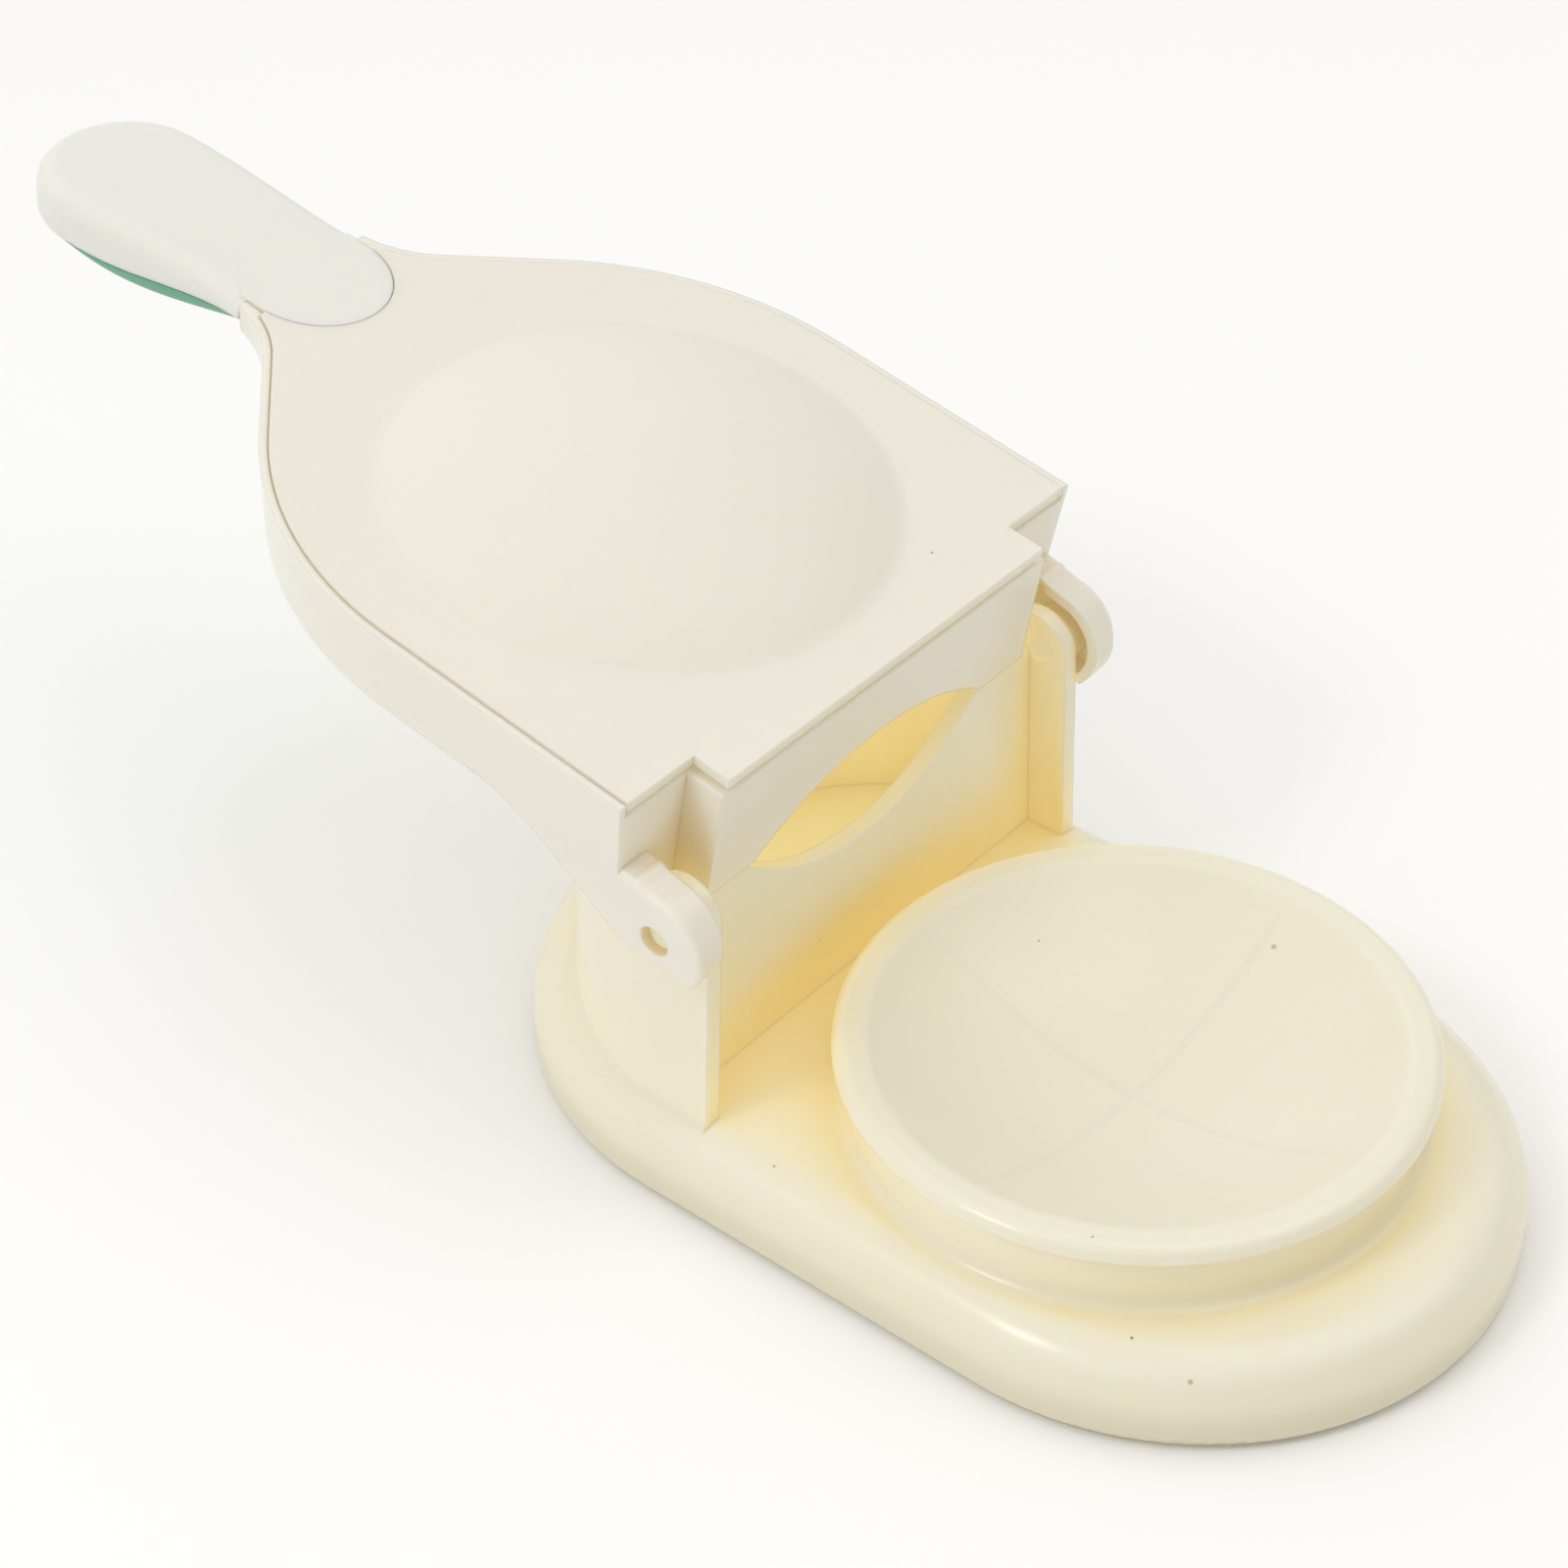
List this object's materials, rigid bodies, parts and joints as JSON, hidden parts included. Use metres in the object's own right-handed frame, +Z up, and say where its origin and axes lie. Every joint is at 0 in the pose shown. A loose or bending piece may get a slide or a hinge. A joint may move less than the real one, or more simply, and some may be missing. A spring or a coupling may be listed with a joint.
{
  "type": "hand dough press",
  "caption": "Hinged plastic hand press: an arm with a domed plate folds over onto a round dish on a stadium-shaped base.",
  "frame": {"origin": "middle of the open press's footprint, on the table", "axes": "+X from the handle towards the dish, along the press; +Y to its left, along the hinge pins; +Z up"},
  "size_m": [0.3258, 0.1198, 0.1153],
  "materials": {
    "cream_plastic": "glossy injection-moulded plastic",
    "plate_plastic": "satin injection-moulded plastic",
    "handle_plastic": "satin injection-moulded plastic",
    "green_plastic": "satin injection-moulded plastic",
    "pad_rubber": "matt rubber"
  },
  "bodies": {
    "base": {"base_body": "cream_plastic", "hinge_pin_left": "cream_plastic", "hinge_pin_right": "cream_plastic", "foot_pad_front_left": "pad_rubber", "foot_pad_front_right": "pad_rubber", "foot_pad_rear_left": "pad_rubber", "foot_pad_rear_right": "pad_rubber"},
    "arm": {"arm_shell": "cream_plastic", "press_plate": "plate_plastic", "handle_cover": "handle_plastic", "handle_grip": "green_plastic"}
  },
  "joints": [
    {"name": "arm_hinge", "type": "hinge", "parent": "base", "child": "arm", "pos_m": [0.03529, 0, 0.0584], "axis": [0, 1, 0], "range_deg": [0, 170.2]}
  ]
}
